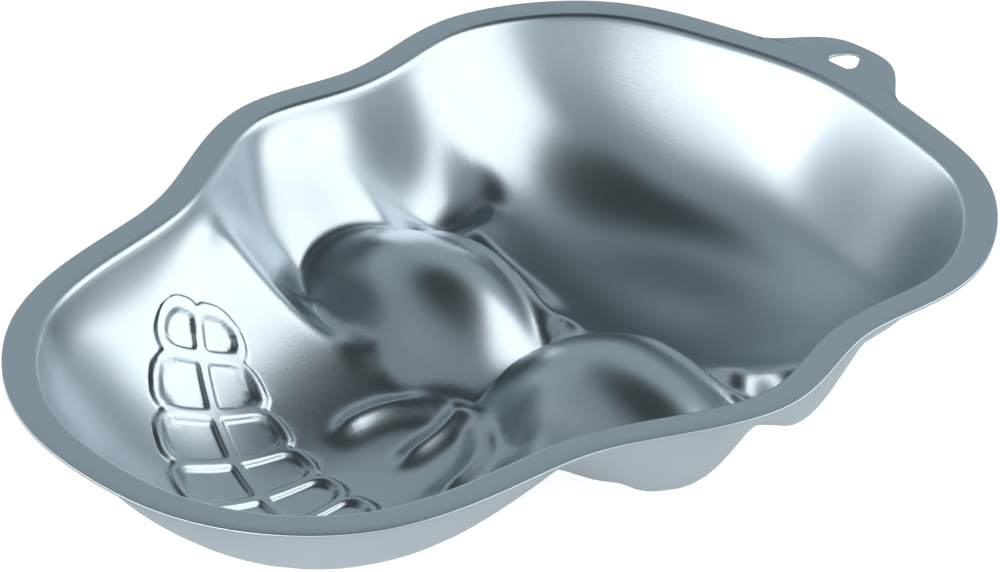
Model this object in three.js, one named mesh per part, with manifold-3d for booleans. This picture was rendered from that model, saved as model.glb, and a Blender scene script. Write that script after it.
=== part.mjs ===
import * as THREE from 'three';
import { mergeVertices } from 'three/addons/utils/BufferGeometryUtils.js';
import Module from 'manifold-3d';

// Skull cake pan, pressed from one aluminium sheet: a flat rim with a hanging tab and, sunk below it, the
// hollow of a skull that lies face down. Millimetres. X runs across the face, Y from chin to crown, Z up.
// The origin is under the middle of the pan, on the surface it stands on.

// Whole pan without its tab, and the sizes that its curves are drawn at; the drawing is stretched to fit
const PAN_WIDTH = 220.2;
const PAN_LENGTH = 300;
const DRAWN_WIDTH = 220.2;
const DRAWN_LENGTH = 300;

// Sheet and rim
const SHEET = 1.0;
const FLANGE_WIDTH = 7.5;
const FLANGE_FILLET = 2.5;
const WALL_ANGLE = 76.5;
const HEEL_SOFTNESS = 6.2;

// Half of the rim's outer edge, crown to chin, as control points of a smooth cubic B-spline
const RIM_CONTROL = [
  [0, 153], [42, 143], [81, 133], [113, 84], [96, 43], [119, 5],
  [88, -42], [85, -64], [79, -114], [40, -147], [0, -152],
];

// Hanging tab at the crown, with its three-lobed hole
const TAB_REACH = 13.8;
const TAB_FOOT = 28;
const TAB_FULLNESS = 1.8;
const TAB_OVERLAP = 3;
const HOLE_RADIUS = 4.6;
const HOLE_LOBE = 0.5;
const HOLE_LOBES = 3;
const HOLE_FROM_EDGE = 10;

// The bowls that together hold the cake: depth below the rim, centre, half sizes, how flat the bottom is and
// how far the axes are turned in plan
const CRANIUM = {
  depth: 52.5, x: 0, y: 82, halfWidth: 98.5, toCrown: 65, toChin: 72, flatness: 3.25, turn: 0,
};
const JAW = {
  depth: 56.5, x: 0, y: -61.5, halfWidth: 79.5, toCrown: 135, toChin: 85, flatness: 2.45, turn: 0,
};
const ORBIT = {
  depth: 64.5, x: 44.5, y: 19, halfWidth: 65.5, toCrown: 33, toChin: 59, flatness: 2, turn: -36,
};
const TEMPLE = {
  depth: 46.5, x: 70, y: 51.5, halfWidth: 25, toCrown: 37.5, toChin: 37, flatness: 1.8, turn: 26,
};
const BASIN_DEPTH = 7;
const POCKET_SOFTNESS = 21;
const BOWL_SOFTNESS = 4.6;

// Eye sockets: domes that rise from the floor
const EYE = { top: 22.5, rise: 31, x: 37, y: 12, inward: 45, outward: 61, toCrown: 35.5, toChin: 31 };
const EYE_FLATNESS = 2.15;
const EYE_SOFTNESS = 2.8;

// Thin creases raised from the floor: brow, cheek, nose and septum, each easing away between two places
const BROW = { height: 4.2, halfWidth: 3.5, y: 35, dip: 4, dipWidth: 14, sweep: 6 };
const BROW_SWEEP = [52, 80];
const BROW_FADE = [78, 62];
const CHEEK = { height: 2.7, halfWidth: 3.8, y: -12.8, drop: 3.4 };
const CHEEK_DROP = [66, 30];
const CHEEK_OUTER_FADE = [72, 62];
const CHEEK_INNER_FADE = [26, 36];
const NOSE = { height: 3.2, halfWidth: 3.4, y: -37.5, halfAcross: 21, halfAlong: 25.5 };
const NOSE_FADE = [-45.5, -35.5];
const SEPTUM = { height: 3.0, halfWidth: 3.2 };
const SEPTUM_LOWER_FADE = [-39.5, -29.5];
const SEPTUM_UPPER_FADE = [-7.5, -17.5];

// Teeth: two curved rows of flat pockets, divided and bordered by raised bars
const TEETH_PER_SIDE = 5;
const TOOTH_PITCH = 5.86;
const END_TOOTH = 0.75;
const MOUTH_CENTRE_Y = 66;
const MOUTH_RADIUS = 143.5;
const MOUTH_RISE = 6.9;
const MOUTH_CURVE_END = 1.2;
const UPPER_TOOTH = 19;
const LOWER_TOOTH = 21.2;
const UPPER_TAPER = 13.3;
const LOWER_TAPER = 17.6;
const BAR_WIDTH = 3.0;
const BAR_HEIGHT = 1.3;
const BAR_EDGE = 1.0;
const TOOTH_CORNER = 5.5;
const MOUTH_CORNER = 1.2;

// Layout of the faceted surface: columns leave the rim square to it and bend between two insets towards a
// spine on the middle line
const BEND_START = 10;
const BEND_END = 30;
const SPINE_SHARE = 0.5;
const SPAN_STEPS = 4;
const WALL_STEPS = 4;
const RIB_STEPS = 6;
const INNER_TOLERANCE = 0.35;
const OUTER_TOLERANCE = 0.6;
const RIM_TOLERANCE = 0.3;
const REFINE_PASSES = 3;
const SLOPE_STEP = 0.5;
const TAB_STEPS = 48;
const ROOT_STEPS = 8;
const HOLE_STEPS = 36;
const MERGE_DISTANCE = 0.001;

const ACROSS = PAN_WIDTH / DRAWN_WIDTH;
const ALONG = PAN_LENGTH / DRAWN_LENGTH;
const RADIANS = Math.PI / 180;
const ORIGIN = new THREE.Vector2();

function smoothstep(from, to, value) {
  const share = Math.min(1, Math.max(0, (value - from) / (to - from)));
  return share * share * (3 - 2 * share);
}

// Rounded maximum: the deepest of several depths, with soft seams
function deepest(depths, softness) {
  const most = Math.max(...depths);
  const sum = depths.reduce((total, depth) => total + Math.exp((depth - most) / softness), 0);
  return most + softness * Math.log(sum);
}

// Rounded minimum: the shallowest of several depths, with soft seams
function shallowest(depths, softness) {
  return -deepest(depths.map((depth) => -depth), softness);
}

// Depth of one bowl: full at its centre, zero on its ellipse and less than zero outside
function bowlDepth(bowl, across, y) {
  const place = new THREE.Vector2(across - bowl.x, y - bowl.y).rotateAround(ORIGIN, -bowl.turn * RADIANS);
  const reach = place.y > 0 ? bowl.toCrown : bowl.toChin;
  const radius = Math.hypot(place.x / bowl.halfWidth, place.y / reach);
  return bowl.depth * (1 - radius ** bowl.flatness);
}

// Depth of an eye dome: least at its top, falling away ever more steeply
function eyeDepth(across, y) {
  const sideways = across < EYE.x ? EYE.inward : EYE.outward;
  const reach = y > EYE.y ? EYE.toCrown : EYE.toChin;
  const radius = Math.hypot((across - EYE.x) / sideways, (y - EYE.y) / reach);
  return EYE.top + EYE.rise * radius ** EYE_FLATNESS;
}

function creaseHeight(crease, distance) {
  return crease.height * Math.exp(-((distance / crease.halfWidth) ** 2));
}

// Depth of the face below the rim, without the teeth
function faceDepth(x, y) {
  const across = Math.abs(x);
  const pocket = deepest([bowlDepth(ORBIT, across, y), bowlDepth(TEMPLE, across, y)], POCKET_SOFTNESS);
  const bowls = [bowlDepth(CRANIUM, across, y), bowlDepth(JAW, across, y), pocket, BASIN_DEPTH];
  const floor = shallowest([deepest(bowls, BOWL_SOFTNESS), eyeDepth(across, y)], EYE_SOFTNESS);
  const dip = BROW.dip * Math.exp(-((across / BROW.dipWidth) ** 2));
  const browY = BROW.y - dip + BROW.sweep * smoothstep(...BROW_SWEEP, across);
  const brow = creaseHeight(BROW, y - browY) * smoothstep(...BROW_FADE, across);
  const cheekY = CHEEK.y - CHEEK.drop * smoothstep(...CHEEK_DROP, across);
  const cheekFade = smoothstep(...CHEEK_OUTER_FADE, across) * smoothstep(...CHEEK_INNER_FADE, across);
  const cheek = creaseHeight(CHEEK, y - cheekY) * cheekFade;
  const arch = Math.hypot(across / NOSE.halfAcross, (y - NOSE.y) / NOSE.halfAlong) - 1;
  const nose = creaseHeight(NOSE, arch * NOSE.halfAcross) * smoothstep(...NOSE_FADE, y);
  const septumFade = smoothstep(...SEPTUM_LOWER_FADE, y) * smoothstep(...SEPTUM_UPPER_FADE, y);
  const septum = creaseHeight(SEPTUM, across) * septumFade;
  return floor - brow - cheek - nose - septum;
}

// Depth of the side wall at a given distance in from the rim's edge: flat flange, fillet, straight wall
function wallDepth(inset) {
  const angle = WALL_ANGLE * RADIANS;
  const run = Math.max(0, inset - FLANGE_WIDTH);
  const filletRun = FLANGE_FILLET * Math.sin(angle);
  const onFillet = Math.min(run, filletRun);
  const fillet = FLANGE_FILLET - Math.sqrt(FLANGE_FILLET ** 2 - onFillet ** 2);
  return fillet + Math.max(0, run - filletRun) * Math.tan(angle);
}

// Depth of the pressed sheet: the wall runs down until a rounded heel turns it into the face
function sheetDepth(x, y, inset) {
  if (inset <= FLANGE_WIDTH) return 0;
  const face = faceDepth(x / ACROSS, y / ALONG);
  const atFlange = shallowest([0, face], HEEL_SOFTNESS);
  return Math.max(0, shallowest([wallDepth(inset), face], HEEL_SOFTNESS) - atFlange);
}

// Distance to the edge of a rounded box, less than zero inside; the corners beside the mouth are tighter
function pocketGap(along, outward, halfWide, halfTall) {
  const corner = Math.min(outward > 0 ? TOOTH_CORNER : MOUTH_CORNER, halfWide, halfTall);
  const side = Math.abs(along) - halfWide + corner;
  const end = Math.abs(outward) - halfTall + corner;
  const outside = Math.hypot(Math.max(side, 0), Math.max(end, 0));
  return outside + Math.min(Math.max(side, end), 0) - corner;
}

// Height of the bars between and around the teeth, which fan out about one centre
function toothBars(panX, panY) {
  const x = panX / ACROSS;
  const y = panY / ALONG;
  const radius = Math.hypot(x, y - MOUTH_CENTRE_Y);
  const angle = Math.atan2(Math.abs(x), MOUTH_CENTRE_Y - y) / RADIANS;
  const share = Math.min(MOUTH_CURVE_END, angle / (TEETH_PER_SIDE * TOOTH_PITCH)) ** 2;
  const mouth = MOUTH_RADIUS - MOUTH_RISE * share;
  const halfUpper = (UPPER_TOOTH - UPPER_TAPER * share) / 2;
  const halfLower = (LOWER_TOOTH - LOWER_TAPER * share) / 2;
  const nearest = Math.floor(angle / TOOTH_PITCH);
  let gap = Infinity;
  for (const tooth of [nearest - 1, nearest, nearest + 1]) {
    if (tooth >= -1 && tooth < TEETH_PER_SIDE) {
      const pitch = TOOTH_PITCH * (tooth === TEETH_PER_SIDE - 1 ? END_TOOTH : 1);
      const along = radius * (angle - tooth * TOOTH_PITCH - pitch / 2) * RADIANS;
      const halfWide = (radius * pitch * RADIANS - BAR_WIDTH) / 2;
      const upper = mouth - BAR_WIDTH / 2 - halfUpper - radius;
      const lower = radius - mouth - BAR_WIDTH / 2 - halfLower;
      gap = Math.min(gap, pocketGap(along, upper, halfWide, halfUpper));
      gap = Math.min(gap, pocketGap(along, lower, halfWide, halfLower));
    }
  }
  const inner = smoothstep(-BAR_EDGE / 2, BAR_EDGE / 2, gap);
  const outer = smoothstep(BAR_WIDTH + BAR_EDGE / 2, BAR_WIDTH - BAR_EDGE / 2, gap);
  return BAR_HEIGHT * inner * outer;
}

// Control point of the whole rim, counted round from the crown; the left half mirrors the right
function rimControl(index) {
  const last = RIM_CONTROL.length - 1;
  const turned = ((index % (2 * last)) + 2 * last) % (2 * last);
  const [x, y] = RIM_CONTROL[turned <= last ? turned : 2 * last - turned];
  return [(turned <= last ? x : -x) * ACROSS, y * ALONG];
}

// Point of the rim's outer edge and its inward normal; the parameter counts control points from the crown
function rimEdge(parameter) {
  const span = Math.floor(parameter);
  const u = parameter - span;
  const weights = [(1 - u) ** 3, 3 * u ** 3 - 6 * u ** 2 + 4, -3 * u ** 3 + 3 * u ** 2 + 3 * u + 1, u ** 3];
  const slopes = [-3 * (1 - u) ** 2, 9 * u ** 2 - 12 * u, -9 * u ** 2 + 6 * u + 3, 3 * u ** 2];
  const point = new THREE.Vector2();
  const along = new THREE.Vector2();
  weights.forEach((weight, k) => {
    const [x, y] = rimControl(span - 1 + k);
    point.x += (weight * x) / 6;
    point.y += (weight * y) / 6;
    along.x += slopes[k] * x;
    along.y += slopes[k] * y;
  });
  along.normalize();
  return { point, inward: new THREE.Vector2(along.y, -along.x) };
}

// Plan position for a place on the sheet, and its distance from the rim. The depth parameter runs from the
// rim's edge (0) to the end of the bend (1) and on along a rib to the spine on the middle line (2).
function planPoint(parameter, depth) {
  const { point, inward } = rimEdge(parameter);
  const bendLength = BEND_END - BEND_START;
  const bendMiddle = point.clone().addScaledVector(inward, (BEND_START + BEND_END) / 2);
  const rib = new THREE.Vector2(0, point.y * SPINE_SHARE).sub(bendMiddle);
  const ribLength = rib.length() - bendLength / 2;
  rib.normalize();
  const onRib = Math.max(0, depth - 1) * ribLength;
  const path = Math.min(depth, 1) * BEND_END + onRib;
  const share = Math.min(1, Math.max(0, (path - BEND_START) / bendLength));
  const bent = bendLength * (share ** 3 - share ** 4 / 2) + onRib;
  const square = path - bent;
  const plan = point.clone().addScaledVector(inward, square).addScaledVector(rib, bent);
  if (depth === 2 || parameter === 0 || parameter === RIM_CONTROL.length - 1) plan.x = 0;
  return { x: plan.x, y: plan.y, inset: square + bent * inward.dot(rib), inward };
}

// Inner face of the sheet
function innerPoint(parameter, depth) {
  const { x, y, inset } = planPoint(parameter, depth);
  const bars = inset > FLANGE_WIDTH + FLANGE_FILLET ? toothBars(x, y) : 0;
  return new THREE.Vector3(x, y, bars - sheetDepth(x, y, inset));
}

// Outer face: one sheet thickness away from the inner face, square to it
function outerPoint(parameter, depth) {
  const { x, y, inset, inward } = planPoint(parameter, depth);
  const here = sheetDepth(x, y, inset);
  const slope = (dx, dy, further) => {
    const ahead = sheetDepth(x + dx, y + dy, inset + further);
    const behind = sheetDepth(x - dx, y - dy, inset - further);
    return (ahead - behind) / (2 * SLOPE_STEP);
  };
  const byInset = slope(0, 0, SLOPE_STEP);
  const byX = slope(SLOPE_STEP, 0, 0);
  const byY = slope(0, SLOPE_STEP, 0);
  const normal = new THREE.Vector3(0, 0, 1);
  if (inset > FLANGE_WIDTH) normal.set(byX + byInset * inward.x, byY + byInset * inward.y, 1);
  if (x === 0) normal.setX(0);
  normal.normalize();
  return new THREE.Vector3(x, y, -here).addScaledVector(normal, -SHEET);
}

// Right half of one face of the sheet, as a coarse grid whose edges are halved until they follow the surface
function halfFace(surface, tolerance) {
  const columns = (RIM_CONTROL.length - 1) * SPAN_STEPS;
  const filletEnd = FLANGE_WIDTH + FLANGE_FILLET * Math.sin(WALL_ANGLE * RADIANS);
  const insets = [0, FLANGE_WIDTH, (FLANGE_WIDTH + filletEnd) / 2, filletEnd];
  const wallStep = (BEND_END - filletEnd) / WALL_STEPS;
  for (let k = 1; k <= WALL_STEPS; k += 1) insets.push(filletEnd + k * wallStep);
  const rings = insets.map((inset) => inset / BEND_END);
  for (let k = 1; k <= RIB_STEPS; k += 1) rings.push(1 + k / RIB_STEPS);
  const places = [];
  const points = [];
  const addPlace = (parameter, depth) => {
    places.push([parameter, depth]);
    points.push(surface(parameter, depth));
    return places.length - 1;
  };
  for (let column = 0; column <= columns; column += 1) {
    for (const ring of rings) addPlace(column / SPAN_STEPS, ring);
  }
  let triangles = [];
  for (let column = 0; column < columns; column += 1) {
    for (let ring = 0; ring < rings.length - 1; ring += 1) {
      const a = column * rings.length + ring;
      const b = a + rings.length;
      triangles.push([a, b, b + 1], [a, b + 1, a + 1]);
    }
  }
  const strays = (i, j) => {
    const allowed = places[i][1] + places[j][1] === 0 ? RIM_TOLERANCE : tolerance;
    const chord = new THREE.Line3(points[i], points[j]);
    const foot = new THREE.Vector3();
    return [0.25, 0.5, 0.75].some((share) => {
      const parameter = THREE.MathUtils.lerp(places[i][0], places[j][0], share);
      const depth = THREE.MathUtils.lerp(places[i][1], places[j][1], share);
      const onSurface = surface(parameter, depth);
      chord.closestPointToPoint(onSurface, true, foot);
      return foot.distanceTo(onSurface) > allowed;
    });
  };
  for (let pass = 0; pass < REFINE_PASSES; pass += 1) {
    const middles = new Map();
    const middle = (i, j) => {
      const key = i < j ? `${i} ${j}` : `${j} ${i}`;
      if (!middles.has(key)) {
        const parameter = (places[i][0] + places[j][0]) / 2;
        const depth = (places[i][1] + places[j][1]) / 2;
        middles.set(key, strays(i, j) ? addPlace(parameter, depth) : -1);
      }
      return middles.get(key);
    };
    triangles = triangles.flatMap((corners) => splitTriangle(corners, middle));
  }
  return { points, triangles };
}

// Splits a triangle at the middles of those of its edges that have one
function splitTriangle([a, b, c], middle) {
  const ab = middle(a, b);
  const bc = middle(b, c);
  const ca = middle(c, a);
  const split = (ab >= 0) + (bc >= 0) + (ca >= 0);
  if (split === 0) return [[a, b, c]];
  if (split === 3) return [[a, ab, ca], [ab, b, bc], [ca, bc, c], [ab, bc, ca]];
  if (split === 1) {
    if (ab >= 0) return [[a, ab, c], [ab, b, c]];
    if (bc >= 0) return [[a, b, bc], [a, bc, c]];
    return [[a, b, ca], [ca, b, c]];
  }
  if (ab < 0) return [[a, b, bc], [a, bc, ca], [ca, bc, c]];
  if (bc < 0) return [[b, c, ca], [b, ca, ab], [ab, ca, a]];
  return [[c, a, ab], [c, ab, bc], [bc, ab, b]];
}

// Both halves of one face as loose triangles; the outer face is turned over so that it looks outwards
function wholeFace({ points, triangles }, looksUp, corners) {
  const mirrored = points.map((point) => new THREE.Vector3(-point.x, point.y, point.z));
  for (const [a, b, c] of triangles) {
    const order = looksUp ? [a, c, b] : [a, b, c];
    corners.push(...order.map((index) => points[index]));
    corners.push(...order.reverse().map((index) => mirrored[index]));
  }
}

// The cut edge of the sheet all round the rim, between the open borders of the two faces
function cutEdge(upper, corners) {
  const uses = new Map();
  const key = (point) => `${point.x.toFixed(4)} ${point.y.toFixed(4)}`;
  for (let k = 0; k < upper.length; k += 3) {
    for (let side = 0; side < 3; side += 1) {
      const from = upper[k + side];
      const to = upper[k + ((side + 1) % 3)];
      const back = `${key(to)} ${key(from)}`;
      if (uses.has(back)) uses.delete(back);
      else uses.set(`${key(from)} ${key(to)}`, [from, to]);
    }
  }
  const down = new THREE.Vector3(0, 0, -SHEET);
  for (const [from, to] of uses.values()) {
    const fromLow = from.clone().add(down);
    const toLow = to.clone().add(down);
    corners.push(to, from, fromLow, to, fromLow, toLow);
  }
}

function pressedSheet() {
  const upper = [];
  wholeFace(halfFace(innerPoint, INNER_TOLERANCE), true, upper);
  const corners = [...upper];
  wholeFace(halfFace(outerPoint, OUTER_TOLERANCE), false, corners);
  cutEdge(upper, corners);
  return new THREE.BufferGeometry().setFromPoints(corners);
}

// Flat hanging tab: its edge swells out of the rim's edge, and its root lies inside the flange
function hangingTab() {
  const isOnTab = ({ point }) => Math.abs(point.x) < TAB_FOOT;
  const places = (steps) => {
    const across = Array.from({ length: 2 * steps + 1 }, (_, k) => k / steps - 1);
    return across.map((share) => rimEdge(share)).filter(isOnTab);
  };
  const outline = places(TAB_STEPS).map(({ point }) => {
    const foot = (Math.abs(point.x) / TAB_FOOT) ** TAB_FULLNESS;
    return new THREE.Vector2(point.x, point.y + TAB_REACH * Math.cos((Math.PI / 2) * foot) ** 2);
  });
  const root = places(ROOT_STEPS).map(({ point, inward }) => point.addScaledVector(inward, TAB_OVERLAP));
  const shape = new THREE.Shape([...outline, ...root.reverse()]);
  const holeY = Math.max(...outline.map((point) => point.y)) - HOLE_FROM_EDGE;
  const hole = Array.from({ length: HOLE_STEPS }, (_, k) => {
    const angle = (k / HOLE_STEPS) * 2 * Math.PI;
    const radius = HOLE_RADIUS + HOLE_LOBE * Math.cos(HOLE_LOBES * (angle - Math.PI / 2));
    return new THREE.Vector2(radius * Math.cos(angle), holeY + radius * Math.sin(angle));
  });
  shape.holes.push(new THREE.Path(hole));
  const plate = new THREE.ExtrudeGeometry(shape, { depth: SHEET, bevelEnabled: false, curveSegments: 1 });
  return plate.translate(0, 0, -SHEET);
}

const wasm = await Module();
wasm.setup();

function solidOf(geometry) {
  const bare = new THREE.BufferGeometry();
  bare.setAttribute('position', geometry.getAttribute('position'));
  if (geometry.index) bare.setIndex(geometry.index);
  const merged = mergeVertices(bare, MERGE_DISTANCE);
  const vertProperties = Float32Array.from(merged.getAttribute('position').array);
  const triVerts = Uint32Array.from(merged.index.array);
  return new wasm.Manifold(new wasm.Mesh({ numProp: 3, vertProperties, triVerts }));
}

function geometryOf(solid) {
  const mesh = solid.getMesh();
  const geometry = new THREE.BufferGeometry();
  geometry.setAttribute('position', new THREE.BufferAttribute(mesh.vertProperties, 3));
  geometry.setIndex(new THREE.BufferAttribute(mesh.triVerts, 1));
  geometry.computeVertexNormals();
  return geometry;
}

const panGeometry = geometryOf(solidOf(pressedSheet()).add(solidOf(hangingTab())));
panGeometry.computeBoundingBox();
const { min, max } = panGeometry.boundingBox;

const satinAluminium = new THREE.MeshStandardMaterial({ color: 0xb9c2c6, roughness: 0.32, metalness: 1.0 });
const pan = new THREE.Mesh(panGeometry, satinAluminium);
pan.name = 'pan_sheet';
pan.position.set(0, -(min.y + max.y) / 2, -min.z);

const skullPan = new THREE.Group();
skullPan.add(pan);

export default skullPan;
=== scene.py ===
import bpy
import numpy as np
from mathutils import Matrix, Vector


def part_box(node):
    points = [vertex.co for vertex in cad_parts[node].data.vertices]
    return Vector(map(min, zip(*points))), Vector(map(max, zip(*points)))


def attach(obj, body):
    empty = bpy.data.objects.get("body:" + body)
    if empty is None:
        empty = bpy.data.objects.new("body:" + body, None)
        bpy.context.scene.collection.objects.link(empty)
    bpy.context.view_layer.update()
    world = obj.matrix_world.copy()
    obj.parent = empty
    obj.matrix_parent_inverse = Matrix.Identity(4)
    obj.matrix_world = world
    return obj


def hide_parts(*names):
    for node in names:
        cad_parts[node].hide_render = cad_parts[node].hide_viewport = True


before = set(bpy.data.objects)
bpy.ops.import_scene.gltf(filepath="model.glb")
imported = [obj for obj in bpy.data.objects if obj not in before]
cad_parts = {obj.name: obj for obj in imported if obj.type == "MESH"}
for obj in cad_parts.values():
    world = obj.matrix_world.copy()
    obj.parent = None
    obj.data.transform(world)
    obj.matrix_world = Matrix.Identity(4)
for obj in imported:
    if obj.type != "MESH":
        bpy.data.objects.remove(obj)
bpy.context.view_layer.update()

# The pan is one sheet of bare aluminium, a millimetre thick, pressed between dies: a flat rim all round and,
# sunk below it, the hollow of a skull that lies face down. What stands out on the cake is deepest here. Sizes
# are millimetres from the rim's top: x across the face, y from chin to crown, and depths downwards.
MM = 0.001
THICKNESS = 1.0
RIM_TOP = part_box("pan_sheet")[1][2] / MM
RIM_CONTROL = np.array([(0, 153), (42, 143), (81, 133), (113, 84), (96, 43), (119, 5),
                        (88, -42), (85, -64), (79, -114), (40, -147), (0, -152)], float)
CROWN, CHIN = 0.0, len(RIM_CONTROL) - 1.0
TAB_FOOT = 28
TAB_REACH = 13.8


def rim_edge(parameter):
    """Rim's outer edge and inward normal: a uniform cubic B-spline on the control points and their mirror."""
    whole = np.vstack([RIM_CONTROL, RIM_CONTROL[-2:0:-1] * (-1, 1)])
    span = np.floor(parameter).astype(int)
    u = parameter - span
    weights = ((1 - u) ** 3, 3 * u ** 3 - 6 * u ** 2 + 4, -3 * u ** 3 + 3 * u ** 2 + 3 * u + 1, u ** 3)
    slopes = (-3 * (1 - u) ** 2, 9 * u ** 2 - 12 * u, -9 * u ** 2 + 6 * u + 3, 3 * u ** 2)
    near = [whole[(span - 1 + k) % len(whole)] for k in range(4)]
    edge = sum(w[:, None] * p for w, p in zip(weights, near)) / 6
    along = sum(s[:, None] * p for s, p in zip(slopes, near))
    along /= np.linalg.norm(along, axis=1, keepdims=True)
    return edge, np.stack([along[:, 1], -along[:, 0]], 1)


rim_ends = rim_edge(np.array([CROWN, CHIN]))[0]
tab_top = rim_ends[0, 1] + TAB_REACH
outline_middle = (tab_top + rim_ends[1, 1]) / 2


def smoothstep(zero_at, one_at, value):
    """Cubic ease from 0 at one value to 1 at another, which may be the smaller."""
    share = np.clip((value - zero_at) / (one_at - zero_at), 0, 1)
    return share * share * (3 - 2 * share)


def deepest(depths, softness):
    """Rounded maximum: softness times the logarithm of the sum of exponentials."""
    depths = np.array(np.broadcast_arrays(*depths))
    most = depths.max(axis=0)
    return most + softness * np.log(np.exp((depths - most) / softness).sum(axis=0))


def shallowest(depths, softness):
    """Rounded minimum, the mirror of the rounded maximum."""
    return -deepest([-np.asarray(depth) for depth in depths], softness)


def bowl_depth(across, y, depth, x0, y0, half_width, to_crown, to_chin, flatness, turn=0):
    """Depth of a bowl: its full depth times one minus a power of the elliptical distance from its centre. The
    ellipse is turned in plan by some degrees."""
    cosine, sine = np.cos(np.radians(turn)), np.sin(np.radians(turn))
    sideways = (across - x0) * cosine + (y - y0) * sine
    upright = (y - y0) * cosine - (across - x0) * sine
    reach = np.where(upright > 0, to_crown, to_chin)
    return depth * (1 - np.hypot(sideways / half_width, upright / reach) ** flatness)


CRANIUM = dict(depth=52.5, x0=0, y0=82, half_width=98.5, to_crown=65, to_chin=72, flatness=3.25)
JAW = dict(depth=56.5, x0=0, y0=-61.5, half_width=79.5, to_crown=135, to_chin=85, flatness=2.45)
ORBIT = dict(depth=64.5, x0=44.5, y0=19, half_width=65.5, to_crown=33, to_chin=59, flatness=2.0, turn=-36)
TEMPLE = dict(depth=46.5, x0=70, y0=51.5, half_width=25, to_crown=37.5, to_chin=37, flatness=1.8, turn=26)
SADDLE_WIDTH = 8
BASIN = 7
POCKET_SOFTNESS = 21
BOWL_SOFTNESS = 4.6


def hollow_depth(x, y):
    """Depth of the skull's hollow: rounded maximum of the bowls of cranium, jaw, orbits and temples and of a
    shallow basin. The orbits meet at the middle line in a saddle, rounded by a hyperbola."""
    across = np.abs(x)
    cranium = bowl_depth(across, y, **CRANIUM)
    jaw = bowl_depth(across, y, **JAW)
    orbit = bowl_depth(np.hypot(x, SADDLE_WIDTH), y, **ORBIT)
    temple = bowl_depth(across, y, **TEMPLE)
    pocket = deepest([orbit, temple], POCKET_SOFTNESS)
    return deepest([cranium, jaw, pocket, BASIN], BOWL_SOFTNESS)


EYE_X, EYE_Y, EYE_TOP = 37, 12, 22.5
EYE_INWARD, EYE_OUTWARD = 45, 61
EYE_TO_CROWN, EYE_TO_CHIN = 35.5, 31
EYE_DROP = 31
EYE_FLATNESS = 2.15
EYE_SOFTNESS = 2.8


def eye_depth(across, y):
    """Depth of an eye's dome: its top, plus a drop times a power of the elliptical distance from there."""
    sideways, upright = across - EYE_X, y - EYE_Y
    width = np.where(sideways < 0, EYE_INWARD, EYE_OUTWARD)
    length = np.where(upright > 0, EYE_TO_CROWN, EYE_TO_CHIN)
    return EYE_TOP + EYE_DROP * np.hypot(sideways / width, upright / length) ** EYE_FLATNESS


def crease(distance, height, half_width):
    """Height of a thin crease, a bell curve of the distance from its line."""
    return height * np.exp(-(distance / half_width) ** 2)


BROW_Y, BROW_HEIGHT, BROW_WIDTH = 35, 4.2, 3.5
BROW_MIDDLE, BROW_DIP, BROW_SWELL, BROW_SPREAD = 14, 4, 2.4, 1.2
BROW_LIFT, BROW_LIFT_START, BROW_LIFT_END = 6, 52, 80
BROW_FADE, BROW_END = 62, 78


def brow_crease(across, y):
    """Height of the brow's crease. At the middle its line dips by a bell curve, and it is higher and wider by
    two more. Further out the line lifts towards the crown, and the crease fades out."""
    lift = BROW_LIFT * smoothstep(BROW_LIFT_START, BROW_LIFT_END, across)
    line = BROW_Y - crease(across, BROW_DIP, BROW_MIDDLE) + lift
    height = BROW_HEIGHT + crease(across, BROW_SWELL, BROW_MIDDLE)
    width = BROW_WIDTH + crease(across, BROW_SPREAD, BROW_MIDDLE)
    return crease(y - line, height, width) * smoothstep(BROW_END, BROW_FADE, across)


CHEEK_Y, CHEEK_HEIGHT, CHEEK_WIDTH = -12.8, 2.7, 3.8
CHEEK_DROP, CHEEK_DROP_START, CHEEK_DROP_END = 3.4, 66, 30
CHEEK_INNER_END, CHEEK_INNER_FADE, CHEEK_OUTER_FADE, CHEEK_OUTER_END = 26, 36, 62, 72


def cheek_crease(across, y):
    """Height of the cheek's crease below the eye. Its line drops towards the nose, and both ends fade out."""
    line = CHEEK_Y - CHEEK_DROP * smoothstep(CHEEK_DROP_START, CHEEK_DROP_END, across)
    outer_end = smoothstep(CHEEK_OUTER_END, CHEEK_OUTER_FADE, across)
    inner_end = smoothstep(CHEEK_INNER_END, CHEEK_INNER_FADE, across)
    return crease(y - line, CHEEK_HEIGHT, CHEEK_WIDTH) * outer_end * inner_end


NOSE_Y, NOSE_ACROSS, NOSE_ALONG = -37.5, 21, 25.5
NOSE_HEIGHT, NOSE_WIDTH = 3.2, 3.4
NOSE_END, NOSE_FADE = NOSE_Y - 8, NOSE_Y + 2
SEPTUM_HEIGHT, SEPTUM_WIDTH = 3.0, 3.2
SEPTUM_LOW_END, SEPTUM_LOW_FADE = NOSE_Y - 2, NOSE_Y + 8
SEPTUM_TOP_FADE, SEPTUM_TOP_END = NOSE_Y + 20, NOSE_Y + 30


def nose_crease(across, y):
    """Height of the nose's arch, a crease along an ellipse that fades out towards the teeth."""
    arch = np.hypot(across / NOSE_ACROSS, (y - NOSE_Y) / NOSE_ALONG) - 1
    return crease(arch * NOSE_ACROSS, NOSE_HEIGHT, NOSE_WIDTH) * smoothstep(NOSE_END, NOSE_FADE, y)


def septum_crease(across, y):
    """Height of the septum, a crease on the middle line that fades out at both ends."""
    low_end = smoothstep(SEPTUM_LOW_END, SEPTUM_LOW_FADE, y)
    top_end = smoothstep(SEPTUM_TOP_END, SEPTUM_TOP_FADE, y)
    return crease(across, SEPTUM_HEIGHT, SEPTUM_WIDTH) * low_end * top_end


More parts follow.
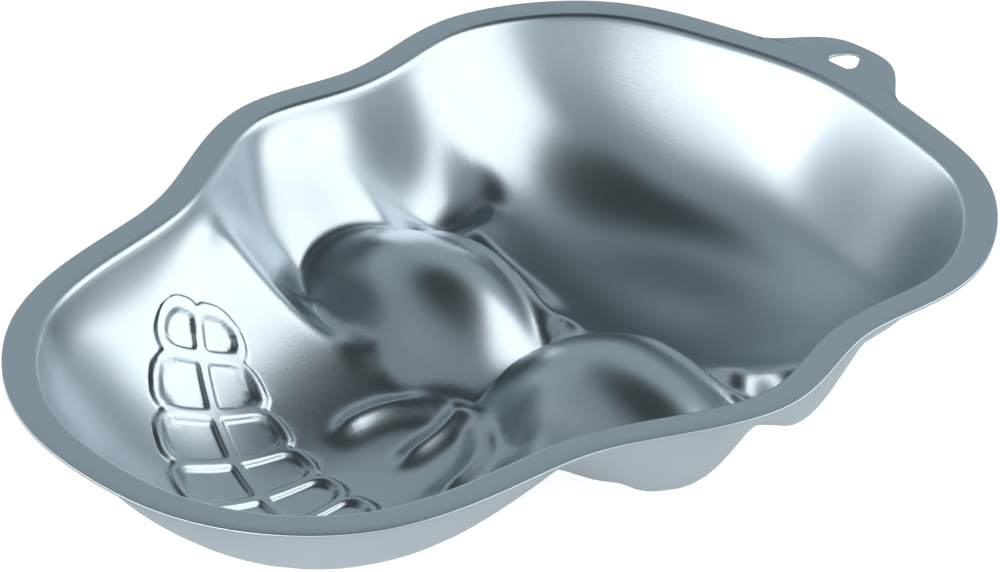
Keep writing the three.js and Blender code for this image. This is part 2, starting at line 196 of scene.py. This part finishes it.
def face_depth(x, y):
    """Depth of the face: rounded minimum of the hollow and the eye domes, less the creases on it."""
    across = np.abs(x)
    face = shallowest([hollow_depth(x, y), eye_depth(across, y)], EYE_SOFTNESS)
    face = face - brow_crease(across, y) - cheek_crease(across, y)
    return face - nose_crease(across, y) - septum_crease(across, y)


FLANGE = 7.5
FILLET = 2.5
HEEL = 6.2
FACE_WALL, CRANIUM_WALL = np.radians(76.5), np.radians(67)
LEAN_START, LEAN_END = 40, 85


def sheet_depth(x, y, inset):
    """Depth of the sheet: flat flange, fillet and straight wall by the inset, eased into the face by a heel.
    The wall leans back more round the cranium."""
    run = np.maximum(0, inset - FLANGE)
    wall_angle = FACE_WALL + (CRANIUM_WALL - FACE_WALL) * smoothstep(LEAN_START, LEAN_END, y)
    fillet_run = FILLET * np.sin(wall_angle)
    fillet = FILLET - np.sqrt(FILLET ** 2 - np.minimum(run, fillet_run) ** 2)
    wall = fillet + np.maximum(0, run - fillet_run) * np.tan(wall_angle)
    face = face_depth(x, y)
    depth = shallowest([wall, face], HEEL) - shallowest([0.0, face], HEEL)
    return np.where(inset > FLANGE, np.maximum(depth, 0), 0)


TEETH_PER_SIDE = 5
TOOTH_PITCH = np.radians(5.86)
END_TOOTH = 0.75
TEETH_ANGLE = TEETH_PER_SIDE * TOOTH_PITCH
TAPER_END = 1.2
MOUTH_Y, MOUTH_RADIUS, MOUTH_RISE = 66, 143.5, 6.9
UPPER_TOOTH, UPPER_TAPER = 19, 13.3
LOWER_TOOTH, LOWER_TAPER = 21.2, 17.6
BAR_WIDTH, BAR_HEIGHT, BAR_EDGE = 3.0, 1.3, 1.0
TOOTH_CORNER, MOUTH_CORNER = 5.5, 1.2


def tooth_rows(angle):
    """Radius of the mouth line and heights of the upper and lower teeth, each less a taper times the square
    of the angle from the middle."""
    share = np.minimum(TAPER_END, np.abs(angle) / TEETH_ANGLE) ** 2
    mouth = MOUTH_RADIUS - MOUTH_RISE * share
    return mouth, UPPER_TOOTH - UPPER_TAPER * share, LOWER_TOOTH - LOWER_TAPER * share


def pocket_gap(along, outward, half_wide, half_tall):
    """Distance to the edge of a rounded box, with its corners beside the mouth line tighter."""
    corner = np.where(outward > 0, TOOTH_CORNER, MOUTH_CORNER)
    corner = np.minimum(corner, np.minimum(half_wide, half_tall))
    side = np.abs(along) - half_wide + corner
    end = np.abs(outward) - half_tall + corner
    return np.hypot(np.maximum(side, 0), np.maximum(end, 0)) + np.minimum(np.maximum(side, end), 0) - corner


def tooth_bars(x, y):
    """Height of the raised bars: a plateau with eased edges, from a tooth pocket's edge to one bar width.
    The first tooth across the middle line is counted too, so that the bars meet there."""
    radius = np.hypot(x, y - MOUTH_Y)
    angle = np.arctan2(np.abs(x), MOUTH_Y - y)
    mouth, upper, lower = tooth_rows(angle)
    gap = np.full(radius.shape, np.inf)
    for tooth in range(-1, TEETH_PER_SIDE):
        pitch = TOOTH_PITCH * (END_TOOTH if tooth == TEETH_PER_SIDE - 1 else 1)
        along = radius * (angle - tooth * TOOTH_PITCH - pitch / 2)
        half_wide = (radius * pitch - BAR_WIDTH) / 2
        above = mouth - BAR_WIDTH / 2 - upper / 2 - radius
        below = radius - mouth - BAR_WIDTH / 2 - lower / 2
        gap = np.minimum(gap, pocket_gap(along, above, half_wide, upper / 2))
        gap = np.minimum(gap, pocket_gap(along, below, half_wide, lower / 2))
    inner = smoothstep(-BAR_EDGE / 2, BAR_EDGE / 2, gap)
    outer = smoothstep(BAR_WIDTH + BAR_EDGE / 2, BAR_WIDTH - BAR_EDGE / 2, gap)
    return BAR_HEIGHT * inner * outer


def stretches(stops):
    """Values spaced evenly over stretches, each given by its start, end and count, and without its start."""
    return np.concatenate([np.linspace(start, end, count + 1)[1:] for start, end, count in stops])


TOOTH_COLUMNS = np.array([0, 0.05, 0.08, 0.11, 0.14, 0.18, 0.3, 0.5, 0.7, 0.82, 0.86, 0.89, 0.92, 0.95])
BESIDE_TEETH = 0.06
CHEEK_ANGLE, CHEEKBONE_ANGLE, TEMPLE_ANGLE, TAB_ANGLE = 0.85, 1.1, 1.4, 2.8


def sheet_columns():
    """Angles round the mouth's centre, chin to crown: closer together at the teeth, creases and tab."""
    full_teeth = TEETH_PER_SIDE - 1
    teeth = ((np.arange(full_teeth)[:, None] + TOOTH_COLUMNS) * TOOTH_PITCH).ravel()
    last = full_teeth * TOOTH_PITCH
    end = (full_teeth + END_TOOTH) * TOOTH_PITCH + BESIDE_TEETH
    beyond = stretches([(last, end, 43), (end, CHEEK_ANGLE, 42), (CHEEK_ANGLE, CHEEKBONE_ANGLE, 14),
                        (CHEEKBONE_ANGLE, TEMPLE_ANGLE, 36), (TEMPLE_ANGLE, TAB_ANGLE, 48),
                        (TAB_ANGLE, np.pi, 29)])
    return np.concatenate([teeth, [last], beyond])


BEND_START, BEND_END = 8.0, 20.0
BEND_MIDDLE = (BEND_START + BEND_END) / 2


def square_part(inset):
    """Part of an inset that runs square to the rim. The rest, which is the integral of a cubic ease over the
    bend, heads for the mouth's centre."""
    share = np.clip((inset - BEND_START) / (BEND_END - BEND_START), 0, 1)
    turned_part = (BEND_END - BEND_START) * (share ** 3 - share ** 4 / 2) + np.maximum(inset - BEND_END, 0)
    return inset - turned_part


RIM_SAMPLES = 4001


def column_rim(angles):
    """Rim's edge and inward normal at each angle, read off the curve midway through the bend."""
    parameter = np.linspace(CROWN, CHIN, RIM_SAMPLES)
    edge, inward = rim_edge(parameter)
    inset = edge + BEND_MIDDLE * inward
    angle = np.arctan2(inset[:, 0], MOUTH_Y - inset[:, 1])
    return rim_edge(np.interp(angles, angle[::-1], parameter[::-1]))


ROW_STOPS = (1, 1.2, 1.42, 1.48, 1.7, 2)
SHARES_BESIDE_MOUTH = (1, 0.855, 0.7, 0.63, 0.47, 0)
MOST_SHARES = (1, 0.97, 0.9, 0.88, 0.8, 0)
TEETH_MARGIN = 1.05
TEETH_BORDER = 1.0
MOUTH_FADE = 0.35


def row_shares(rows, angles, reach):
    """Share of the way to the mouth's centre for each row past the bend. Between the row stops the rows lead
    to the lower teeth, cross these, the mouth line and the upper teeth, and run on to the centre. Beside the
    mouth they take fixed shares instead."""
    mouth, upper, lower = tooth_rows(np.clip(angles, 0, TEETH_MARGIN * TEETH_ANGLE)[:, None])
    mouth_reach = reach[np.argmin(np.abs(angles - TEETH_ANGLE))]
    scale = np.minimum(1, reach / mouth_reach)
    lower_border = (mouth + 1.5 * BAR_WIDTH + lower + TEETH_BORDER) * scale
    upper_border = (mouth - 1.5 * BAR_WIDTH - upper - TEETH_BORDER) * scale
    marks = [reach, lower_border, (mouth + BAR_WIDTH / 2) * scale,
             (mouth - BAR_WIDTH / 2) * scale, upper_border, 0 * reach]
    beside = smoothstep(TEETH_ANGLE, TEETH_ANGLE + MOUTH_FADE, angles)[:, None]
    marks = [np.minimum(mark, most * reach) * (1 - beside) + share * reach * beside
             for mark, most, share in zip(marks, MOST_SHARES, SHARES_BESIDE_MOUTH)]
    radius = np.broadcast_to(reach, (len(angles), len(rows))).copy()
    for k in range(len(ROW_STOPS) - 1):
        part = np.clip((rows - ROW_STOPS[k]) / (ROW_STOPS[k + 1] - ROW_STOPS[k]), 0, 1)
        radius += (marks[k + 1] - marks[k]) * part
    return 1 - radius / reach


CUT_ROUNDING = 0.3


def at_tab(edge):
    """True where the tab grows out of the rim: near the middle line, at the crown's end."""
    return (np.abs(edge[:, 0]) < TAB_FOOT) & (edge[:, 1] > 0)


def sheet_plan(angles, rows):
    """Plan of a grid of columns and rows, its inset from the rim, and the inward normals. A row up to 1 is an
    inset square to the rim; from 1 to 2 it goes on along the ray to the mouth's centre."""
    edge, inward = column_rim(angles)
    inset = np.minimum(rows, 1)[None, :] * BEND_END
    # Where the tab joins on, the flange runs right out to the edge and leaves no room for a rounded cut.
    unrounded = at_tab(edge)[:, None] & (inset < FLANGE)
    inset = np.where(unrounded, np.maximum(inset - CUT_ROUNDING, 0), inset)
    to_centre = np.array([0.0, MOUTH_Y]) - (edge + BEND_MIDDLE * inward)
    reach = np.linalg.norm(to_centre, axis=1)[:, None]
    to_centre = to_centre / reach
    reach = reach - (BEND_END - BEND_START) / 2
    inset = inset + row_shares(rows, angles, reach) * reach
    square = square_part(inset)
    turned = inset - square
    plan = edge[:, None] + square[..., None] * inward[:, None] + turned[..., None] * to_centre[:, None]
    inset = square + turned * (inward * to_centre).sum(axis=1)[:, None]
    return plan[..., 0], plan[..., 1], inset, inward


def inner_face(angles, rows):
    """Inner face: the sheet's depth, with the tooth bars standing on it inside the fillet."""
    x, y, inset = sheet_plan(angles, rows)[:3]
    bars = np.where(inset > FLANGE + FILLET, tooth_bars(x, y), 0)
    return np.stack([x, y, bars - sheet_depth(x, y, inset)], 2)


SLOPE_STEP = 0.5


def outer_face(angles, rows):
    """Outer face: the sheet's depth without the bars, moved by one thickness against the normal. Its slopes
    are central differences by x, y and the inset."""
    x, y, inset, inward = sheet_plan(angles, rows)

    def slope(x_step, y_step, inset_step):
        """Depth a step ahead less the depth a step behind, over the distance between them."""
        ahead = sheet_depth(x + x_step, y + y_step, inset + inset_step)
        behind = sheet_depth(x - x_step, y - y_step, inset - inset_step)
        return (ahead - behind) / (2 * SLOPE_STEP)

    by_inset = slope(0, 0, SLOPE_STEP)
    by_x = slope(SLOPE_STEP, 0, 0) + by_inset * inward[:, :1]
    by_y = slope(0, SLOPE_STEP, 0) + by_inset * inward[:, 1:]
    flat = inset <= FLANGE
    normal = np.stack([np.where(flat, 0, by_x), np.where(flat, 0, by_y), np.ones_like(x)], 2)
    normal /= np.linalg.norm(normal, axis=2, keepdims=True)
    return np.stack([x, y, -sheet_depth(x, y, inset)], 2) - THICKNESS * normal


SHARP_FROM = np.radians(70)


def closed_mesh(name, points, faces):
    """Mesh object from an array of points below the rim, moved to the frame's middle and height, and from
    arrays of faces that each hold rows of indices."""
    mesh = bpy.data.meshes.new(name)
    mesh.vertices.add(len(points))
    placed = (points + (0, -outline_middle, RIM_TOP)) * MM
    mesh.vertices.foreach_set("co", placed.astype(np.float32).ravel())
    sizes = np.concatenate([np.full(len(face), face.shape[1]) for face in faces])
    corners = np.concatenate([face.ravel() for face in faces])
    mesh.loops.add(len(corners))
    mesh.loops.foreach_set("vertex_index", corners.astype(np.int32))
    mesh.polygons.add(len(sizes))
    mesh.polygons.foreach_set("loop_start", (np.cumsum(sizes) - sizes).astype(np.int32))
    mesh.polygons.foreach_set("loop_total", sizes.astype(np.int32))
    mesh.update(calc_edges=True)
    mesh.validate()
    mesh.shade_smooth()
    mesh.set_sharp_from_angle(angle=SHARP_FROM)
    piece = bpy.data.objects.new(name, mesh)
    bpy.context.scene.collection.objects.link(piece)
    return piece


def around(indices):
    """Quads between neighbouring rows of a grid whose columns close on themselves."""
    after = np.roll(indices, -1, axis=0)
    quads = np.stack([indices[:, :-1], after[:, :-1], after[:, 1:], indices[:, 1:]], 2)
    return quads.reshape(-1, 4)


def both_sides(right):
    """Whole ring of columns from the half on the right: the columns between the two ends are mirrored."""
    return np.concatenate([right, right[-2:0:-1] * (-1, 1, 1)], axis=0)


# Rows lie closest together at the borders of the teeth, the mouth line and the brow. The inner face takes
# every column. The outer one, which has no bars, takes every second column and fewer rows.
columns = sheet_columns()
flange_rows = np.array([CUT_ROUNDING, FLANGE / 2, FLANGE]) / BEND_END
fillet_rows = stretches([(FLANGE, FLANGE + FILLET, 6)]) / BEND_END
wall_rows = stretches([(FLANGE + FILLET, BEND_END, 18)]) / BEND_END
inner_rows = stretches([(1, 1.2, 16), (1.2, 1.27, 9), (1.27, 1.4, 6), (1.4, 1.5, 12), (1.5, 1.62, 6),
                        (1.62, 1.7, 9), (1.7, 1.87, 26), (1.87, 1.945, 17), (1.945, 1.985, 6)])
outer_rows = stretches([(1, 1.2, 10), (1.2, 1.7, 18), (1.7, 1.985, 42)])
inner = inner_face(columns, np.concatenate([flange_rows, fillet_rows, wall_rows, inner_rows]))
outer = outer_face(columns[::2],
                   np.concatenate([flange_rows, fillet_rows[1::2], wall_rows[1::2], outer_rows]))

# The cut edge of the rim is rounded by two quarter turns, except where the tab grows out of it. A little play
# keeps it within the edge of the solid, which is made of straight pieces.
RIM_PLAY = 0.02
ROUNDING_TURN = np.radians([0, 30, 60, 90])
round_in = CUT_ROUNDING * (1 - np.sin(ROUNDING_TURN))
round_down = CUT_ROUNDING * (1 - np.cos(ROUNDING_TURN))
rim_points, rim_inward = column_rim(columns)
plain = ~at_tab(rim_points)
cut_inset = RIM_PLAY + np.concatenate([round_in[1:], round_in[:0:-1]])
cut = np.empty((len(columns), len(cut_inset), 3))
cut[..., :2] = rim_points[:, None] + (plain[:, None] * cut_inset)[..., None] * rim_inward[:, None]
cut[..., 2] = np.concatenate([round_down[1:] - THICKNESS, -round_down[:0:-1]])

# The two faces meet under the rim, and a fan of triangles closes each of them at the mouth's centre.
PAST_THE_WALL = 90.0
outside = both_sides(outer[:, ::-1])
inside = both_sides(np.concatenate([cut, inner], axis=1))
outside_indices = np.arange(outside[..., 0].size).reshape(outside.shape[:2])
inside_indices = outside_indices.size + np.arange(inside[..., 0].size).reshape(inside.shape[:2])
coarse, fine = outside_indices[:, -1], inside_indices[:, 0]
rim_joint = np.stack([coarse, np.roll(coarse, -1), np.roll(fine[::2], -1), fine[1::2], fine[::2]], 1)
centre_depth = sheet_depth(np.array([0.0]), np.array([float(MOUTH_Y)]), np.array([PAST_THE_WALL]))[0]
poles = np.array([(0, MOUTH_Y, -centre_depth - THICKNESS), (0, MOUTH_Y, -centre_depth)])
low_pole = outside_indices.size + inside_indices.size
first, last = outside_indices[:, 0], inside_indices[:, -1]
low_fan = np.stack([np.full(len(first), low_pole), np.roll(first, -1), first], 1)
high_fan = np.stack([np.full(len(last), low_pole + 1), last, np.roll(last, -1)], 1)
sheet = closed_mesh("skull_sheet", np.vstack([outside.reshape(-1, 3), inside.reshape(-1, 3), poles]),
                    [around(outside_indices), rim_joint, around(inside_indices), low_fan, high_fan])


class Value:
    """A shader socket with arithmetic, so that node maths reads as an expression."""

    def __init__(self, tree, socket=None):
        self.tree = tree
        self.socket = socket

    def node(self, kind, inputs=(), settings=(), output=0):
        """One output of a new node, with its settings made first and its sockets then set or linked."""
        made = self.tree.nodes.new(kind)
        for key, value in dict(settings).items():
            setattr(made, key, value)
        for key, value in dict(inputs).items():
            if isinstance(value, Value):
                self.tree.links.new(value.socket, made.inputs[key])
            else:
                made.inputs[key].default_value = value
        return Value(self.tree, made.outputs[output])

    def other_output(self, output):
        """Another output of the node that this value comes from."""
        return Value(self.tree, self.socket.node.outputs[output])

    def maths(self, operation, other):
        """This value and another one, or a number, put through a Math node."""
        return self.node("ShaderNodeMath", {0: self, 1: other}, {"operation": operation})

    def __add__(self, other):
        return self.maths("ADD", other)

    def __mul__(self, other):
        return self.maths("MULTIPLY", other)

    __radd__ = __add__
    __rmul__ = __mul__


METAL_COLOUR = (0.66, 0.73, 0.77, 1)
LEAST_ROUGHNESS, ROUGHNESS_DRIFT = 0.25, 0.08
PATCHES_PER_METRE, GRAINS_PER_METRE = 22.0, 1400.0
NOISE_DETAIL = 2.0
GRAIN_STRENGTH, GRAIN_HEIGHT = 0.1, 0.0002


def satin_aluminium():
    """Bare metal with an even satin: its roughness is the least one plus a broad noise, and a fine noise
    gives the bumps of its grain."""
    material = bpy.data.materials.new("satin_aluminium")
    material.use_nodes = True
    tree = material.node_tree
    shader = next(node for node in tree.nodes if node.type == "BSDF_PRINCIPLED")
    shader.inputs["Base Color"].default_value = METAL_COLOUR
    shader.inputs["Metallic"].default_value = 1.0
    place = Value(tree).node("ShaderNodeTexCoord", output="Object")
    patches = place.node("ShaderNodeTexNoise",
                         {"Vector": place, "Scale": PATCHES_PER_METRE, "Detail": NOISE_DETAIL})
    roughness = LEAST_ROUGHNESS + ROUGHNESS_DRIFT * patches
    tree.links.new(roughness.socket, shader.inputs["Roughness"])
    grain = place.node("ShaderNodeTexNoise",
                       {"Vector": place, "Scale": GRAINS_PER_METRE, "Detail": NOISE_DETAIL})
    bumps = place.node("ShaderNodeBump",
                       {"Strength": GRAIN_STRENGTH, "Distance": GRAIN_HEIGHT, "Height": grain})
    tree.links.new(bumps.socket, shader.inputs["Normal"])
    return material


metal = satin_aluminium()
sheet.data.materials.append(metal)
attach(sheet, "root")
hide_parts("pan_sheet")

# The hanging tab is the same sheet, left standing out flat at the crown when the rim was trimmed. A hole with
# three soft corners is punched through it for a hook.
TAB_FULLNESS = 1.8
TAB_BLEND = 1.0
HOLE_RADIUS, HOLE_LOBE, HOLE_CORNERS = 4.6, 0.5, 3
HOLE_FROM_EDGE = 10

# The rim swells by a squared cosine of a power of the distance from the middle line. Rays from the hole's
# centre join the hole, whose radius swells by a cosine of the bearing, to this outline.
tab_edge = rim_points[~plain]
tab_edge = np.vstack([tab_edge, tab_edge[-2::-1] * (-1, 1)])
from_middle = np.minimum(1, np.abs(tab_edge[:, 0]) / TAB_FOOT)
swell = TAB_REACH * np.cos(np.pi / 2 * from_middle ** TAB_FULLNESS) ** 2
outline = np.vstack([tab_edge + np.stack([0 * swell, swell], 1), tab_edge[-2:0:-1]])
free = np.concatenate([np.minimum(1, swell / TAB_BLEND), np.zeros(len(tab_edge) - 2)])
hole_centre = np.array([0, tab_top - HOLE_FROM_EDGE])
bearing = np.arctan2(*(outline - hole_centre).T[::-1])
hole_radius = HOLE_RADIUS + HOLE_LOBE * np.cos(HOLE_CORNERS * (bearing - np.pi / 2))
hole = hole_centre + hole_radius[:, None] * np.stack([np.cos(bearing), np.sin(bearing)], 1)
away = outline - hole
span = np.linalg.norm(away, axis=1)[:, None]

# Along each ray the section runs over the top from hole to edge and back underneath, with rounded corners.
# The rounding of the edge dies out where the tab runs into the rim.
hole_share = round_in / span
edge_share = 1 - free[:, None] * round_in / span
share = np.concatenate([hole_share[:, ::-1], edge_share, edge_share[:, ::-1], hole_share], axis=1)
tab_grid = np.empty(share.shape + (3,))
tab_grid[..., :2] = hole[:, None] + share[..., None] * away[:, None]
tab_grid[..., 2] = np.concatenate([-round_down[::-1], -round_down,
                                   round_down[::-1] - THICKNESS, round_down - THICKNESS])
tab_indices = np.arange(share.size).reshape(share.shape)
tab_indices = np.concatenate([tab_indices, tab_indices[:, :1]], axis=1)
tab = closed_mesh("hanging_tab", tab_grid.reshape(-1, 3), [around(tab_indices[::-1])])
tab.data.materials.append(metal)
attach(tab, "root")
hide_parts("pan_sheet")

# The pan stands on a plain floor of matt white board, which runs out of the picture on every side and keeps
# the pan's soft shadow.
FLOOR_HALF = 6.0
FLOOR_COLOUR = (0.8, 0.8, 0.8, 1)
GLOW_COLOUR = (1, 1, 1, 1)
GLOW_SEEN, GLOW_MIRRORED = 0.75, 0.15


def white_floor():
    """Matt white that also glows: most where the camera sees it, and a little in what the metal mirrors."""
    material = bpy.data.materials.new("white_floor")
    material.use_nodes = True
    tree = material.node_tree
    tree.nodes.clear()
    to_lens = Value(tree).node("ShaderNodeLightPath", output="Is Camera Ray")
    through = to_lens.other_output("Is Transmission Ray")
    mirrored = to_lens.other_output("Is Glossy Ray").maths("MAXIMUM", through)
    glow = (GLOW_SEEN * to_lens).maths("MAXIMUM", GLOW_MIRRORED * mirrored)
    matt = glow.node("ShaderNodeBsdfDiffuse", {"Color": FLOOR_COLOUR})
    light = glow.node("ShaderNodeEmission", {"Color": GLOW_COLOUR, "Strength": glow})
    both = glow.node("ShaderNodeAddShader", {0: matt, 1: light})
    surface = tree.nodes.new("ShaderNodeOutputMaterial")
    tree.links.new(both.socket, surface.inputs["Surface"])
    return material


floor_mesh = bpy.data.meshes.new("floor")
floor_corners = [(-FLOOR_HALF, -FLOOR_HALF, 0), (FLOOR_HALF, -FLOOR_HALF, 0),
                 (FLOOR_HALF, FLOOR_HALF, 0), (-FLOOR_HALF, FLOOR_HALF, 0)]
floor_mesh.from_pydata(floor_corners, [], [(0, 1, 2, 3)])
floor_mesh.materials.append(white_floor())
floor = bpy.data.objects.new("floor", floor_mesh)
bpy.context.scene.collection.objects.link(floor)

# The camera looks down on the pan from beyond its chin and one cheek, through a long lens, so that the far
# wall and the teeth are seen over the near rim.
VIEW_TURN, VIEW_ELEVATION, VIEW_DISTANCE = np.radians(44.897), np.radians(33.271), 1.13212
LENS, SENSOR = 144.0, 36.0
AIM_X, AIM_Y, AIM_DEPTH = 5.6, -1.7, 7.9
to_right = Vector((np.cos(VIEW_TURN), np.sin(VIEW_TURN), 0))
to_camera = Vector((np.sin(VIEW_TURN), -np.cos(VIEW_TURN), 0))
aim = Vector((AIM_X, AIM_Y - outline_middle, RIM_TOP - AIM_DEPTH)) * MM
from_aim = to_camera * np.cos(VIEW_ELEVATION) + Vector((0, 0, np.sin(VIEW_ELEVATION)))


def facing(place, backwards):
    """Placing matrix of a lamp or camera whose back points along a direction."""
    return Matrix.Translation(place) @ backwards.to_track_quat("Z", "Y").to_matrix().to_4x4()


camera_data = bpy.data.cameras.new("camera")
camera_data.lens = LENS
camera_data.sensor_width = SENSOR
camera = bpy.data.objects.new("camera", camera_data)
camera.matrix_world = facing(aim + VIEW_DISTANCE * from_aim, from_aim)
bpy.context.scene.collection.objects.link(camera)
bpy.context.scene.camera = camera

# Four wide soft boxes stand round the pan: three low ones from the far left to the front, and a taller one on
# the right. The room is grey beyond the pan, dimmer behind the camera and dark overhead.
WATTS_PER_RADIANCE = 4


def soft_box(name, sideways, nearer, up, width, height, radiance):
    """Area lamp facing the pan, at a place given in metres along the camera's right, towards the camera and
    up. Its power is in proportion to its radiance and area."""
    place = sideways * to_right + nearer * to_camera + Vector((0, 0, up))
    lamp = bpy.data.lights.new(name, "AREA")
    lamp.shape = "RECTANGLE"
    lamp.size = width
    lamp.size_y = height
    lamp.energy = WATTS_PER_RADIANCE * radiance * width * height
    holder = bpy.data.objects.new(name, lamp)
    holder.matrix_world = facing(place, place)
    bpy.context.scene.collection.objects.link(holder)


soft_box("soft_box_left", sideways=-0.92, nearer=0.72, up=0.2, width=1.7, height=0.38, radiance=2.0)
soft_box("soft_box_far_left", sideways=-1.15, nearer=-0.2, up=0.19, width=1.5, height=0.36, radiance=1.2)
soft_box("soft_box_front", sideways=-0.15, nearer=1.2, up=0.2, width=1.6, height=0.4, radiance=1.3)
soft_box("soft_box_right", sideways=1.12, nearer=0.22, up=0.62, width=2.0, height=1.2, radiance=1.0)

ROOM_COLOUR = (0.82, 0.97, 1.05, 1)
ROOM_GREY, ROOM_NEAR, ROOM_DARK = 0.4, 0.75, 0.045
FAR_START, FAR_FULL = -0.1, 0.5
OVERHEAD, OVERHEAD_END = 0.95, 0.7
world = bpy.data.worlds.new("grey_room")
bpy.context.scene.world = world
world.use_nodes = True
room = world.node_tree
backdrop = room.nodes["Background"]
direction = Value(room).node("ShaderNodeTexCoord", output="Generated")


def fade(axis, zero_at, one_at):
    """Smooth share, from 0 to 1, by the dot product of a direction and an axis."""
    along = direction.node("ShaderNodeVectorMath", {0: direction, 1: axis},
                           {"operation": "DOT_PRODUCT"}, "Value")
    return direction.node("ShaderNodeMapRange", {"Value": along, "From Min": zero_at, "From Max": one_at},
                          {"interpolation_type": "SMOOTHSTEP"})


far_share = ROOM_NEAR + (1 - ROOM_NEAR) * fade(tuple(-to_camera), FAR_START, FAR_FULL)
low_share = fade((0, 0, -1), -OVERHEAD, -OVERHEAD_END)
strength = ROOM_DARK + (ROOM_GREY - ROOM_DARK) * (far_share * low_share)
room.links.new(strength.socket, backdrop.inputs["Strength"])
backdrop.inputs["Color"].default_value = ROOM_COLOUR

bpy.context.scene.view_settings.view_transform = "Standard"
